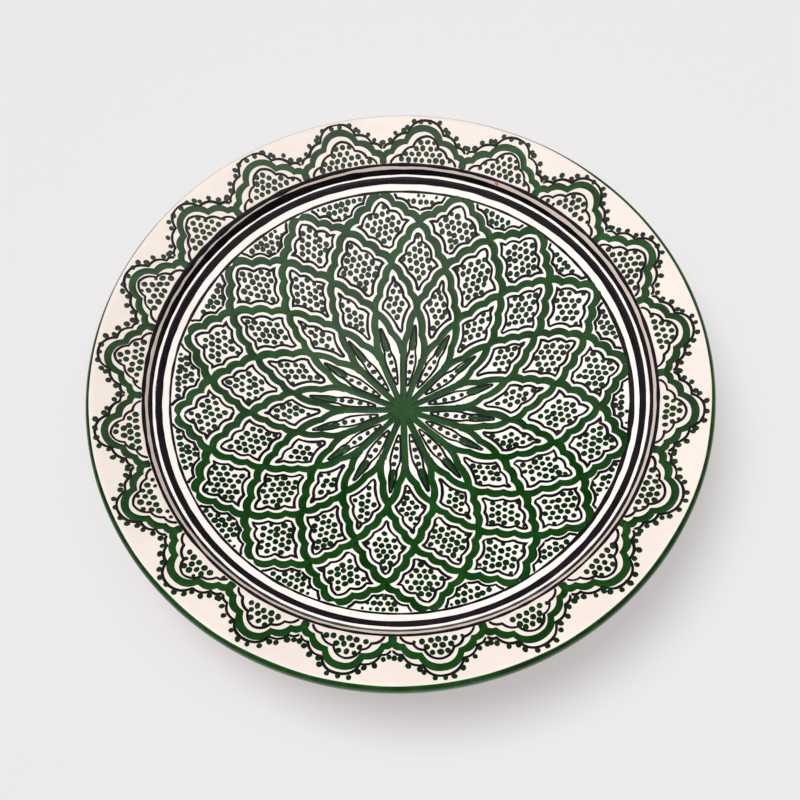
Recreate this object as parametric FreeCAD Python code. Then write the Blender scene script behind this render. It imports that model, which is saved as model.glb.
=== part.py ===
"""A large hand-painted serving dish of glazed red earthenware, 400 mm across.

The dish is a set of layers, as a potter builds it: a thrown clay body with a foot ring luted
under it, a white glaze over the face, thinner glaze on the back, and brushed enamel on top.
Every layer is its own solid. Lengths are millimetres, +Z is up, and the origin is on the
table in the middle of the foot.
"""

import FreeCAD
import Part

import math
import os

# Driving dimensions
LIP_RADIUS = 200.0
HEIGHT = 69.5
DISH_DEPTH = 55.2
WALL = 7.6              # clay and glaze together, measured straight down
BASE_WALL = 8.6         # the same in the middle of the floor
GLAZE = 0.5             # the glaze coats
ENAMEL = 0.25           # brushed lines and bands on top of the face glaze

# The face, from the middle outwards
FLOOR_RADIUS = 40.0     # nearly flat floor
FLOOR_CURVE = 500.0
TURN_RADIUS = 85.0      # where the rounded turn ends and the straight flare begins
TURN_CURVE = 167.0
FLARE_RADIUS = 154.3    # top of the flare, foot of the moulding
BEVEL = (3.3, 2.4)      # across and up
LEDGE = (2.3, 0.2)
STEP = (1.8, 2.9)
SHOULDER = (8.5, 4.6)
SHOULDER_BULGE = 0.9
LIP_ROUND = 4.0         # the lip rolls over from the flange to the outer side
ROLL_STEPS = 6          # the roll is drawn as this many narrow cones
LIP_SIDE = 3.2          # upright outer side of the lip
LIP_UNDERCUT = (2.6, 1.3)   # bevel below the side, inwards and down

# The underside
FOOT_OUTER = 82.0
FOOT_INNER = 71.0
FOOT_CHAMFER = 1.5
BACK_BREAK = 151.0      # where the bowl turns out into the flange, seen from below

# Painted decoration, radii measured on the plan
SPOKES = 16
NODE_RADII = (41.5, 70.6, 100.1, 126.0, 147.0)
HUB_RADIUS = 12.5
ARM_WIDTH = 3.6
BAND_WIDTH = 4.0
ROSETTE_PHASE = 12.6
BORDER = (147.6, 149.8)
PETAL_ZONE = (166.0, 193.0)
PETALS = 20
PETAL_PHASE = -1.9
PETAL_VALLEY = 172.0
PETAL_APEX = 188.5
PETAL_BAND = 4.2
FLANGE_LINE = (164.6, 166.0)
BAND_STEP = 2           # the step of the roll at which the lip band begins


def at(radius, height, turn=0.0):
    """A point at a radius and a height, turned about the axis by an angle in degrees."""
    angle = math.radians(turn)
    return FreeCAD.Vector(radius * math.cos(angle), radius * math.sin(angle), height)


def well_height(radius):
    """Height of the face in the well: a shallow floor, a rounded turn, then a straight flare."""
    middle = HEIGHT - DISH_DEPTH
    floor_slope = math.asin(FLOOR_RADIUS / FLOOR_CURVE)
    flare_slope = math.asin(math.sin(floor_slope) + (TURN_RADIUS - FLOOR_RADIUS) / TURN_CURVE)
    slope = math.asin(min(radius, FLOOR_RADIUS) / FLOOR_CURVE)
    height = middle + FLOOR_CURVE * (1 - math.cos(slope))
    if radius > FLOOR_RADIUS:
        run = min(radius, TURN_RADIUS) - FLOOR_RADIUS
        slope = math.asin(math.sin(floor_slope) + run / TURN_CURVE)
        height += TURN_CURVE * (math.cos(floor_slope) - math.cos(slope))
    if radius > TURN_RADIUS:
        height += (radius - TURN_RADIUS) * math.tan(flare_slope)
    return height


def face_corners():
    """Corners of the moulding and flange outside the flare, as (radius, height) pairs."""
    corners = [(FLARE_RADIUS, well_height(FLARE_RADIUS))]
    for across, up in (BEVEL, LEDGE, STEP, SHOULDER):
        radius, height = corners[-1]
        corners.append((radius + across, height + up))
    corners.append((LIP_RADIUS - LIP_ROUND, HEIGHT))
    return corners


def lip_roll(drop, first, last):
    """Corners round the roll of the lip from one step to another, set in by a coat."""
    radius = LIP_ROUND - drop
    corners = []
    for step in range(first, last + 1):
        angle = 0.5 * math.pi * step / ROLL_STEPS
        corners.append(at(LIP_RADIUS - LIP_ROUND + radius * math.sin(angle),
                          HEIGHT - LIP_ROUND + radius * math.cos(angle)))
    return corners


def face_edges(drop, last):
    """The face from the middle to a step round the roll of the lip, set in by a coat."""
    def place(radius, height):
        return at(radius, height - drop)

    foot, bevel, ledge, step, shoulder, brim = face_corners()
    stops = (0.0, FLOOR_RADIUS, TURN_RADIUS)
    edges = []
    for start, end in zip(stops, stops[1:]):
        middle = 0.5 * (start + end)
        arc = [place(r, well_height(r)) for r in (start, middle, end)]
        edges.append(Part.Arc(*arc).toShape())
    corners = [(TURN_RADIUS, well_height(TURN_RADIUS)), foot, bevel, ledge, step]
    for start, end in zip(corners, corners[1:]):
        edges.append(Part.makeLine(place(*start), place(*end)))
    crown = (0.5 * (step[0] + shoulder[0]) - 0.5 * SHOULDER_BULGE,
             0.5 * (step[1] + shoulder[1]) + SHOULDER_BULGE)
    edges.append(Part.Arc(place(*step), place(*crown), place(*shoulder)).toShape())
    edges.append(Part.makeLine(place(*shoulder), place(*brim)))
    return edges + run_of_lines(lip_roll(drop, 0, last))


def back_corners(lift=0.0, inset=0.0):
    """The underside from the lip inwards to the middle, raised by a coat."""
    lip_foot = HEIGHT - LIP_ROUND - LIP_SIDE
    shoulder = face_corners()[4]
    return [
        at(LIP_RADIUS - inset, lip_foot + lift),
        at(LIP_RADIUS - LIP_UNDERCUT[0] - inset, lip_foot - LIP_UNDERCUT[1] + lift),
        at(shoulder[0], shoulder[1] - WALL + lift),
        at(BACK_BREAK, well_height(BACK_BREAK) - WALL + lift),
        at(TURN_RADIUS, well_height(TURN_RADIUS) - WALL + lift),
        at(FLOOR_RADIUS, well_height(FLOOR_RADIUS) - BASE_WALL + lift),
        at(0.0, well_height(0.0) - BASE_WALL + lift),
    ]


def turned(edges):
    """A solid of revolution about +Z from a closed run of edges in the XZ plane."""
    outline = Part.Face(Part.Wire(Part.__sortEdges__(edges)))
    solid = outline.revolve(FreeCAD.Vector(0, 0, 0), FreeCAD.Vector(0, 0, 1), 360)
    return Part.makeSolid(solid) if solid.ShapeType == "Shell" else solid


def run_of_lines(points):
    """Straight edges from point to point."""
    return [Part.makeLine(start, end) for start, end in zip(points, points[1:])]


def tube(inner, outer):
    """A tall ring about the axis, for cutting a coat at two radii."""
    ring = Part.makeCylinder(outer, 2 * HEIGHT, at(0, -0.5 * HEIGHT))
    if inner > 0:
        ring = ring.cut(Part.makeCylinder(inner, 2 * HEIGHT, at(0, -0.5 * HEIGHT)))
    return ring


def clay_body():
    """The thrown dish of red clay, without its glaze and without the foot."""
    face = face_edges(GLAZE, ROLL_STEPS)
    back = back_corners(GLAZE, GLAZE)
    centre = at(0, well_height(0) - GLAZE)
    lip = at(LIP_RADIUS - GLAZE, HEIGHT - LIP_ROUND)
    return turned(face + run_of_lines([lip] + back + [centre]))


def foot_ring():
    """The luted foot ring: a chamfered ring whose top follows the sloping underside."""
    turn, floor = back_corners(GLAZE, GLAZE)[4:6]

    def underside(radius):
        share = (radius - floor.x) / (turn.x - floor.x)
        return floor.z + share * (turn.z - floor.z)

    corners = [
        at(FOOT_INNER, underside(FOOT_INNER)),
        at(FOOT_INNER + FOOT_CHAMFER, 0),
        at(FOOT_OUTER - FOOT_CHAMFER, 0),
        at(FOOT_OUTER, FOOT_CHAMFER),
        at(FOOT_OUTER, underside(FOOT_OUTER)),
    ]
    return turned(run_of_lines(corners + corners[:1]))


def face_glaze():
    """The white coat on the face, from the middle to the start of the lip band."""
    edges = face_edges(0, BAND_STEP) + face_edges(GLAZE, BAND_STEP)
    brink = lip_roll(0, BAND_STEP, BAND_STEP) + lip_roll(GLAZE, BAND_STEP, BAND_STEP)
    middle = [at(0, well_height(0)), at(0, well_height(0) - GLAZE)]
    return turned(edges + run_of_lines(brink) + run_of_lines(middle))


def lip_band():
    """The green coat on the rest of the lip's roll and down its outer side."""
    lip_foot = HEIGHT - LIP_ROUND - LIP_SIDE
    outer = lip_roll(0, BAND_STEP, ROLL_STEPS)
    inner = lip_roll(GLAZE, BAND_STEP, ROLL_STEPS)
    side = [at(LIP_RADIUS, lip_foot), at(LIP_RADIUS - GLAZE, lip_foot + GLAZE)]
    return turned(run_of_lines(outer + side + inner[::-1] + outer[:1]))


def back_coat():
    """The whole coat on the underside, before the foot parts it in two."""
    outer = back_corners()
    inner = back_corners(GLAZE, GLAZE)
    return turned(run_of_lines(outer + inner[::-1] + outer[:1]))


def enamel_coat():
    """A film of enamel over the whole face, from which the painted shapes are taken."""
    brim = LIP_RADIUS - LIP_ROUND
    side = [at(brim, HEIGHT), at(brim, HEIGHT + ENAMEL)]
    middle = [at(0, well_height(0)), at(0, well_height(0) + ENAMEL)]
    film = face_edges(0, 0) + face_edges(-ENAMEL, 0)
    return turned(film + run_of_lines(side) + run_of_lines(middle))


def ribbon(points, width):
    """An upright prism whose plan is a band of even width along a smooth curve of points."""
    curve = Part.BSplineCurve()
    curve.interpolate(points)
    sides = ([], [])
    for point in points:
        tangent = curve.tangent(curve.parameter(point))[0]
        across = FreeCAD.Vector(-tangent.y, tangent.x, 0).normalize() * (0.5 * width)
        sides[0].append(point + across)
        sides[1].append(point - across)
    edges = []
    for side in sides:
        edge = Part.BSplineCurve()
        edge.interpolate(side)
        edges.append(edge.toShape())
    edges += [Part.makeLine(sides[0][k], sides[1][k]) for k in (0, -1)]
    plan = Part.Face(Part.Wire(Part.__sortEdges__(edges)))
    return plan.extrude(FreeCAD.Vector(0, 0, HEIGHT + 10))


def rosette_plan():
    """Prisms of the green lattice: a hub, straight arms, and two mirrored sets of curved bands."""
    step = 360.0 / SPOKES
    prisms = [Part.makeCylinder(HUB_RADIUS, HEIGHT + 10)]
    for spoke in range(SPOKES):
        turn = ROSETTE_PHASE + (spoke + 0.5) * step
        arm = [at(0.5 * HUB_RADIUS, 0, turn), at(HUB_RADIUS + 15, 0, turn), at(NODE_RADII[0], 0, turn)]
        prisms.append(ribbon(arm, ARM_WIDTH))
        for way in (1, -1):
            path = [at(radius, 0, turn + way * 0.5 * step * row)
                    for row, radius in enumerate(NODE_RADII)]
            prisms.append(ribbon(path, BAND_WIDTH))
    return prisms[0].multiFuse(prisms[1:])


def petal_plan():
    """Prisms of the green petal bands: pointed arches that meet in valleys round the flange."""
    step = 360.0 / PETALS
    prisms = []
    for petal in range(PETALS):
        turn = PETAL_PHASE + petal * step
        for way in (0, 1):
            half = [at(PETAL_VALLEY - 2.0, 0, turn + way * step),
                    at(PETAL_VALLEY + 7.0, 0, turn + (0.17 + 0.66 * way) * step),
                    at(PETAL_APEX, 0, turn + 0.5 * step)]
            prisms.append(ribbon(half, PETAL_BAND))
    return prisms[0].multiFuse(prisms[1:])


def save(name, shape):
    """Write one node, and say what it holds."""
    shape.exportStep(f"parts/{name}.step")
    low, high = shape.BoundBox.ZMin, shape.BoundBox.ZMax
    print(f"{name:18s} solids {len(shape.Solids):3d}  volume {shape.Volume:10.1f}  z {low:.2f} to {high:.2f}")


def main():
    """Build every layer and write it to its own file."""
    os.makedirs("parts", exist_ok=True)
    _, bevel, ledge, step, _, _ = face_corners()
    back = back_coat()
    film = enamel_coat()
    save("clay_body", clay_body())
    save("foot_ring", foot_ring())
    save("face_glaze", face_glaze())
    save("lip_band", lip_band())
    save("back_glaze", back.cut(tube(0, FOOT_OUTER + 1.5)))
    save("base_glaze", back.common(tube(0, FOOT_INNER - 1.5)))
    save("flange_line", film.common(tube(*FLANGE_LINE)))
    save("step_line", film.common(tube(ledge[0], step[0])))
    save("well_band", film.common(tube(FLARE_RADIUS, bevel[0])))
    save("rosette_border", film.common(tube(*BORDER)))
    save("rosette_bands", film.common(tube(0, BORDER[0])).common(rosette_plan()))
    save("petal_bands", film.common(tube(*PETAL_ZONE)).common(petal_plan()))


main()
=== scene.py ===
"""Looks of a large hand-painted serving dish, built round its fixed CAD frame.

The dish is a stack of potter's layers: turned clay, glaze over it, brushed rings in the
moulding, a rosette of crossing lobed bands in the well and a border of lobed petals on the
flange. Every painted mark is real enamel, a fraction of a millimetre proud of the glaze.
Lengths are metres. Angles are degrees in the settings and radians in the working code.
"""

import logging
import math
import random
from dataclasses import dataclass, field
from enum import Enum
from typing import Iterable, Optional, Sequence

import bpy
import numpy as np
from mathutils import Matrix, Vector, noise


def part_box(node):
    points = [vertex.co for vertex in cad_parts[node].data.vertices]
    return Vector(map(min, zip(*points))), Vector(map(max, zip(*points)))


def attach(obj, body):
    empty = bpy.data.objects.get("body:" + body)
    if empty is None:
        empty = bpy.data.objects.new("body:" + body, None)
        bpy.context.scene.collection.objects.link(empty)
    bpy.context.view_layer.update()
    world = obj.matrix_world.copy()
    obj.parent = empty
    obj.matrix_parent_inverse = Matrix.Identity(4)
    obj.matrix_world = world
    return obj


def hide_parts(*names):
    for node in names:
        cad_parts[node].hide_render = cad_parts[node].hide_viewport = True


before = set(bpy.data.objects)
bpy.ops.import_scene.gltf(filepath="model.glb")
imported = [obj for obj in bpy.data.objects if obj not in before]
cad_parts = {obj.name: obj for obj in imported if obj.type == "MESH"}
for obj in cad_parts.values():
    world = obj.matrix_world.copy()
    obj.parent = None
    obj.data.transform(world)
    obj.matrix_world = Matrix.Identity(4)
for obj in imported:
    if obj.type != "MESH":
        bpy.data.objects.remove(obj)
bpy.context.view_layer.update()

log = logging.getLogger("dish")
MM = 0.001
BODY = "root"


# ---------------------------------------------------------------- plan geometry


def polar(radius: float, angle: float) -> np.ndarray:
    """A point on the plan at a radius and an angle in radians."""
    return np.array([radius * math.cos(angle), radius * math.sin(angle)])


def unit(vector: np.ndarray) -> np.ndarray:
    """The vector at length one."""
    return vector / max(float(np.linalg.norm(vector)), 1e-12)


def units(vectors: np.ndarray) -> np.ndarray:
    """Each row of vectors at length one."""
    return vectors / np.maximum(np.linalg.norm(vectors, axis=1, keepdims=True), 1e-12)


def lengths_along(line: np.ndarray) -> np.ndarray:
    """How far along a line each of its points is.

    Args:
        line: the line's points.

    Returns:
        The distance of each point from the start.
    """
    steps = np.linalg.norm(np.diff(line, axis=0), axis=1)
    return np.concatenate([[0], np.cumsum(steps)])


def left_of(direction: np.ndarray) -> np.ndarray:
    """The direction turned a quarter turn to the left."""
    return np.array([-direction[1], direction[0]])


def smooth_line(knots: Sequence[np.ndarray], per_span: int) -> tuple[np.ndarray, np.ndarray]:
    """A smooth curve through knots, as evenly divided spans.

    Args:
        knots: the points that the curve passes through.
        per_span: how many steps each span is cut into.

    Returns:
        The points, and how far each is along the knots, in spans.
    """
    first = 2 * knots[0] - knots[1]
    last = 2 * knots[-1] - knots[-2]
    padded = [first, *knots, last]
    points, along = [], []
    for span in range(len(knots) - 1):
        a, b, c, d = padded[span:span + 4]
        steps = per_span + (span == len(knots) - 2)
        for step in range(steps):
            t = step / per_span
            points.append(0.5 * (2 * b + (c - a) * t + (2 * a - 5 * b + 4 * c - d) * t * t
                                 + (3 * b - a - 3 * c + d) * t ** 3))
            along.append(span + t)
    return np.array(points), np.array(along)


def arch(along: np.ndarray) -> np.ndarray:
    """A half wave: zero at 0 and 1, and one half way."""
    return np.clip(np.sin(np.pi * along), 0, 1)


def lobes(along: np.ndarray, breaks: Sequence[float]) -> np.ndarray:
    """How far a line of lobes stands out, as a share of each lobe's length.

    Args:
        along: places along the line, from 0 to 1.
        breaks: the places of the notches, from 0 to 1.

    Returns:
        The height at each place: zero in the notches, and a round hump between them.
    """
    height = np.zeros(len(along))
    for start, end in zip(breaks, breaks[1:]):
        inside = (along >= start) & (along <= end)
        height[inside] = (end - start) * arch((along[inside] - start) / (end - start)) ** 0.8
    return height


def inside_by(outline: np.ndarray, points: np.ndarray) -> np.ndarray:
    """How far each point is inside a closed outline, negative outside it.

    Args:
        outline: the corners of the outline.
        points: the points to place.

    Returns:
        The distance of each point from the outline.
    """
    starts = outline
    ends = np.roll(outline, -1, axis=0)
    spans = ends - starts
    offset = points[:, None, :] - starts[None]
    share = (offset * spans).sum(-1) / np.maximum((spans * spans).sum(-1), 1e-12)
    nearest = offset - np.clip(share, 0, 1)[..., None] * spans
    distance = np.sqrt((nearest ** 2).sum(-1)).min(1)
    above = (starts[:, 1] > points[:, 1, None]) != (ends[:, 1] > points[:, 1, None])
    rise = np.where(spans[:, 1] == 0, 1e-12, spans[:, 1])
    meets = starts[:, 0] + (points[:, 1, None] - starts[:, 1]) / rise * spans[:, 0]
    odd = (above & (points[:, 0, None] < meets)).sum(1) % 2 == 1
    return np.where(odd, distance, -distance)


def crossing(first: np.ndarray, second: np.ndarray) -> tuple[float, float]:
    """Where two lines cross, or come nearest.

    Args:
        first: the points of one line.
        second: the points of the other.

    Returns:
        The place on each line, counted in points.
    """
    a, b = first[:-1, None], np.diff(first, axis=0)[:, None]
    c, d = second[None, :-1], np.diff(second, axis=0)[None]
    gap = c - a
    area = b[..., 0] * d[..., 1] - b[..., 1] * d[..., 0]
    area = np.where(np.abs(area) < 1e-14, 1e-14, area)
    s = (gap[..., 0] * d[..., 1] - gap[..., 1] * d[..., 0]) / area
    t = (gap[..., 0] * b[..., 1] - gap[..., 1] * b[..., 0]) / area
    hits = np.argwhere((s >= 0) & (s <= 1) & (t >= 0) & (t <= 1))
    if len(hits):
        i, j = hits[0]
        return i + float(s[i, j]), j + float(t[i, j])
    apart = np.linalg.norm(first[:, None] - second[None], axis=-1)
    i, j = np.unravel_index(int(apart.argmin()), apart.shape)
    return float(i), float(j)


def part_of(line: np.ndarray, start: float, end: float, count: int) -> np.ndarray:
    """The part of a line between two places counted in points, as evenly numbered points.

    Args:
        line: the line's points.
        start: where the part starts, counted in points.
        end: where it ends.
        count: how many points it gets.

    Returns:
        The part's points.
    """
    places = np.linspace(start, end, count)
    index = np.arange(len(line))
    return np.stack([np.interp(places, index, line[:, 0]), np.interp(places, index, line[:, 1])], axis=1)


def bowed(start: np.ndarray, end: np.ndarray, radius: float) -> np.ndarray:
    """Points on a circle round the middle, from beside one point to beside another.

    Args:
        start: a point beside one end.
        end: a point beside the other end.
        radius: the radius of the circle.

    Returns:
        The points between the ends, without them.
    """
    first = math.atan2(start[1], start[0])
    turn = (math.atan2(end[1], end[0]) - first + math.pi) % (2 * math.pi) - math.pi
    return np.array([polar(radius, first + turn * k / 8) for k in range(1, 8)])


class Hand:
    """A painter's hand: small errors that are the same on every run."""

    FIELD = 500.0                   # how much of the noise field the strokes start from

    def __init__(self, seed: int) -> None:
        """Start from a seed."""
        self.dice = random.Random(seed)

    def slip(self, size: float) -> float:
        """One small error of about the given size."""
        return max(-2.0, min(2.0, self.dice.gauss(0, 1))) * size

    def shift(self, size: float) -> np.ndarray:
        """A small shift on the plan."""
        return np.array([self.slip(size), self.slip(size)])

    def pick(self, low: float, high: float) -> float:
        """A number between two limits."""
        return self.dice.uniform(low, high)

    def wander(self, count: int, length: float, size: float, reach: float = 0.012) -> np.ndarray:
        """A slow wander along a stroke.

        Args:
            count: how many places the stroke has.
            length: the stroke's length.
            size: about how far it wanders.
            reach: the distance over which it changes its mind.

        Returns:
            The error at each place.
        """
        start = self.dice.uniform(0, self.FIELD)
        lane = self.dice.uniform(0, self.FIELD)
        places = np.linspace(0, length / reach, count)
        return np.array([noise.noise(Vector((start + p, lane, 0.37))) for p in places]) * 2 * size


# ---------------------------------------------------------------- the dish's own surface


def cad_section(nodes: Iterable[str], facing: int) -> np.ndarray:
    """The section of some CAD nodes, from the corners of their faces.

    Args:
        nodes: the CAD nodes.
        facing: 1 for the faces that look up, -1 for those that look down.

    Returns:
        Radius and height of each corner, from the axis outward.
    """
    pairs = set()
    for name in nodes:
        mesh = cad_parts[name].data
        for polygon in mesh.polygons:
            if facing * polygon.normal.z > 0.05:
                for index in polygon.vertices:
                    x, y, z = mesh.vertices[index].co
                    pairs.add((round(math.hypot(x, y), 6), round(z, 6)))
    return np.array(sorted(pairs))


def softened(heights: np.ndarray, step: float, spread: float, reach: int) -> np.ndarray:
    """Heights blurred along the radius by a bell curve.

    Args:
        heights: the height at each step out from the axis.
        step: the distance between them.
        spread: the spread of the bell.
        reach: how many steps the bell reaches to either side.

    Returns:
        The blurred heights.
    """
    bell = np.exp(-0.5 * (np.arange(-reach, reach + 1) * step / spread) ** 2)
    mirrored = np.concatenate([heights[reach:0:-1], heights,
                               heights[-1] + (heights[-1] - heights[-2:-reach - 2:-1])])
    return np.convolve(mirrored, bell / bell.sum(), mode="valid")


class Face:
    """The upper surface of the dish, read from the CAD coats and softened as glaze softens it."""

    GRID = 0.1 * MM
    SOFT_CORNERS = 0.45 * MM
    SOFT_CURVES = 7.0 * MM
    BLEND = (0.132, 0.144)          # inside this the well is one smooth sweep
    SWELL = 0.10 * MM               # the unevenness left by the hand
    SWELL_REACH = 45.0 * MM
    SWELL_END = (8.0 * MM, 20.0 * MM)       # how far inside the lip it ends, and over what distance

    def __init__(self, nodes: Iterable[str], lip_radius: float) -> None:
        """Measure the face.

        Args:
            nodes: the CAD nodes whose upward faces are the surface.
            lip_radius: the radius of the lip.
        """
        self.lip_radius = lip_radius
        outline = cad_section(nodes, 1)
        self.radii = np.arange(0, lip_radius, self.GRID)
        sharp = np.interp(self.radii, outline[:, 0], outline[:, 1])
        crisp, swept = (softened(sharp, self.GRID, spread, int(3 * spread / self.GRID))
                        for spread in (self.SOFT_CORNERS, self.SOFT_CURVES))
        share = np.clip((self.radii - self.BLEND[0]) / (self.BLEND[1] - self.BLEND[0]), 0, 1)
        self.heights = swept + (crisp - swept) * share

    def profile(self, radius: float) -> float:
        """Height of the turned surface at a radius, with no unevenness."""
        return float(np.interp(radius, self.radii, self.heights))

    def height(self, x: float, y: float) -> float:
        """Height of the surface at a place on the plan.

        Args:
            x: the place, to the right.
            y: the place, to the back.

        Returns:
            The height, with the unevenness of the hand.
        """
        radius = math.hypot(x, y)
        end, over = self.SWELL_END
        fade = min(1.0, max(0.0, (self.lip_radius - end - radius) / over))
        swell = noise.noise(Vector((x, y, 0.0)) / self.SWELL_REACH + Vector((3.1, 7.7, 1.3)))
        return self.profile(radius) + fade * self.SWELL * swell


# ---------------------------------------------------------------- finishes


class Tree:
    """Short-hand for the node tree of one material."""

    def __init__(self, name: str) -> None:
        """Start an empty material with its output and its shader.

        Args:
            name: the material's name.
        """
        self.material = bpy.data.materials.new(name)
        self.material.use_nodes = True
        self.nodes = self.material.node_tree.nodes
        self.links = self.material.node_tree.links
        self.nodes.clear()
        self.shader = self.nodes.new("ShaderNodeBsdfPrincipled")
        output = self.nodes.new("ShaderNodeOutputMaterial")
        self.links.new(self.shader.outputs[0], output.inputs["Surface"])
        self.place = self.nodes.new("ShaderNodeTexCoord").outputs["Object"]

    def put(self, socket: bpy.types.NodeSocket, value: object) -> None:
        """Set a socket to a value, or feed it from another socket.

        Args:
            socket: the socket.
            value: a plain value, or another socket.
        """
        if isinstance(value, bpy.types.NodeSocket):
            self.links.new(value, socket)
        else:
            socket.default_value = value

    def noise(self, scale: float, detail: float = 3.0, stretch: Optional[Sequence[float]] = None,
              source: Optional[bpy.types.NodeSocket] = None) -> bpy.types.NodeSocket:
        """A noise pattern.

        Args:
            scale: repeats to the metre.
            detail: how many finer layers it has.
            stretch: scales along each axis before the noise is read.
            source: the coordinates, or None for the piece's own.

        Returns:
            The socket of the pattern, about 0.5 on average.
        """
        where = source or self.place
        if stretch:
            mapping = self.nodes.new("ShaderNodeMapping")
            mapping.inputs["Scale"].default_value = stretch
            self.links.new(where, mapping.inputs["Vector"])
            where = mapping.outputs[0]
        node = self.nodes.new("ShaderNodeTexNoise")
        node.inputs["Scale"].default_value = scale
        node.inputs["Detail"].default_value = detail
        self.links.new(where, node.inputs["Vector"])
        return node.outputs["Fac"]

    def ramp(self, source: bpy.types.NodeSocket, low: float, high: float,
             to_low: float = 0.0, to_high: float = 1.0) -> bpy.types.NodeSocket:
        """A value carried smoothly from one range to another and held at its ends.

        Args:
            source: the value.
            low: where the first range starts.
            high: where the first range ends.
            to_low: where the second range starts.
            to_high: where the second range ends.

        Returns:
            The socket of the carried value.
        """
        node = self.nodes.new("ShaderNodeMapRange")
        node.interpolation_type = "SMOOTHSTEP"
        self.put(node.inputs["Value"], source)
        for name, value in (("From Min", low), ("From Max", high), ("To Min", to_low), ("To Max", to_high)):
            node.inputs[name].default_value = value
        return node.outputs["Result"]

    def sum(self, kind: str, first: object, second: object) -> bpy.types.NodeSocket:
        """A sum of arithmetic on two values, such as ADD or MULTIPLY.

        Args:
            kind: which kind of sum; an ADD is held between zero and one.
            first: a number or a socket.
            second: a number or a socket.

        Returns:
            The socket of the answer.
        """
        node = self.nodes.new("ShaderNodeMath")
        node.operation = kind
        node.use_clamp = kind == "ADD"
        self.put(node.inputs[0], first)
        self.put(node.inputs[1], second)
        return node.outputs[0]

    def blend(self, share: bpy.types.NodeSocket, first: object, second: object) -> bpy.types.NodeSocket:
        """A colour between two colours.

        Args:
            share: how much of the second colour there is.
            first: a colour or a socket.
            second: a colour or a socket.

        Returns:
            The socket of the colour.
        """
        node = self.nodes.new("ShaderNodeMix")
        node.data_type = "RGBA"
        self.put(node.inputs[0], share)
        self.put(node.inputs[6], first)
        self.put(node.inputs[7], second)
        return node.outputs[2]

    def attribute(self, name: str) -> bpy.types.NodeSocket:
        """The value of a piece's own attribute.

        Args:
            name: the attribute's name.

        Returns:
            The socket of the value.
        """
        node = self.nodes.new("ShaderNodeAttribute")
        node.attribute_name = name
        return node.outputs["Fac"]

    def from_axis(self) -> bpy.types.NodeSocket:
        """The distance from the dish's upright axis.

        Returns:
            The socket of the distance.
        """
        flat = self.nodes.new("ShaderNodeVectorMath")
        flat.operation = "MULTIPLY"
        flat.inputs[1].default_value = (1, 1, 0)
        self.links.new(self.place, flat.inputs[0])
        node = self.nodes.new("ShaderNodeVectorMath")
        node.operation = "LENGTH"
        self.links.new(flat.outputs[0], node.inputs[0])
        return node.outputs["Value"]

    def brush_map(self) -> tuple[bpy.types.NodeSocket, bpy.types.NodeSocket]:
        """The stroke's own map: the whole vector, and the distance from its middle to its edge.

        Returns:
            The two sockets.
        """
        node = self.nodes.new("ShaderNodeUVMap")
        node.uv_map = "brush"
        parts = self.nodes.new("ShaderNodeSeparateXYZ")
        self.links.new(node.outputs[0], parts.inputs[0])
        return node.outputs[0], parts.outputs["Y"]

    def bump(self, height: bpy.types.NodeSocket, depth: float, strength: float = 1.0) -> None:
        """Roughen the shader's surface by a height pattern of a depth in metres.

        Args:
            height: the socket of the pattern.
            depth: how deep it is.
            strength: how much of it is felt.
        """
        node = self.nodes.new("ShaderNodeBump")
        node.inputs["Strength"].default_value = strength
        node.inputs["Distance"].default_value = depth
        self.links.new(height, node.inputs["Height"])
        self.links.new(node.outputs[0], self.shader.inputs["Normal"])

    def glassy(self, roughness: float) -> None:
        """Give the shader a glaze's shine on a faintly uneven surface.

        Args:
            roughness: how dull the shine is.
        """
        self.shader.inputs["Roughness"].default_value = roughness
        self.shader.inputs["IOR"].default_value = 1.5
        self.bump(self.noise(160, 2), 0.03 * MM, 0.5)


Colour = tuple[float, float, float, float]


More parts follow.
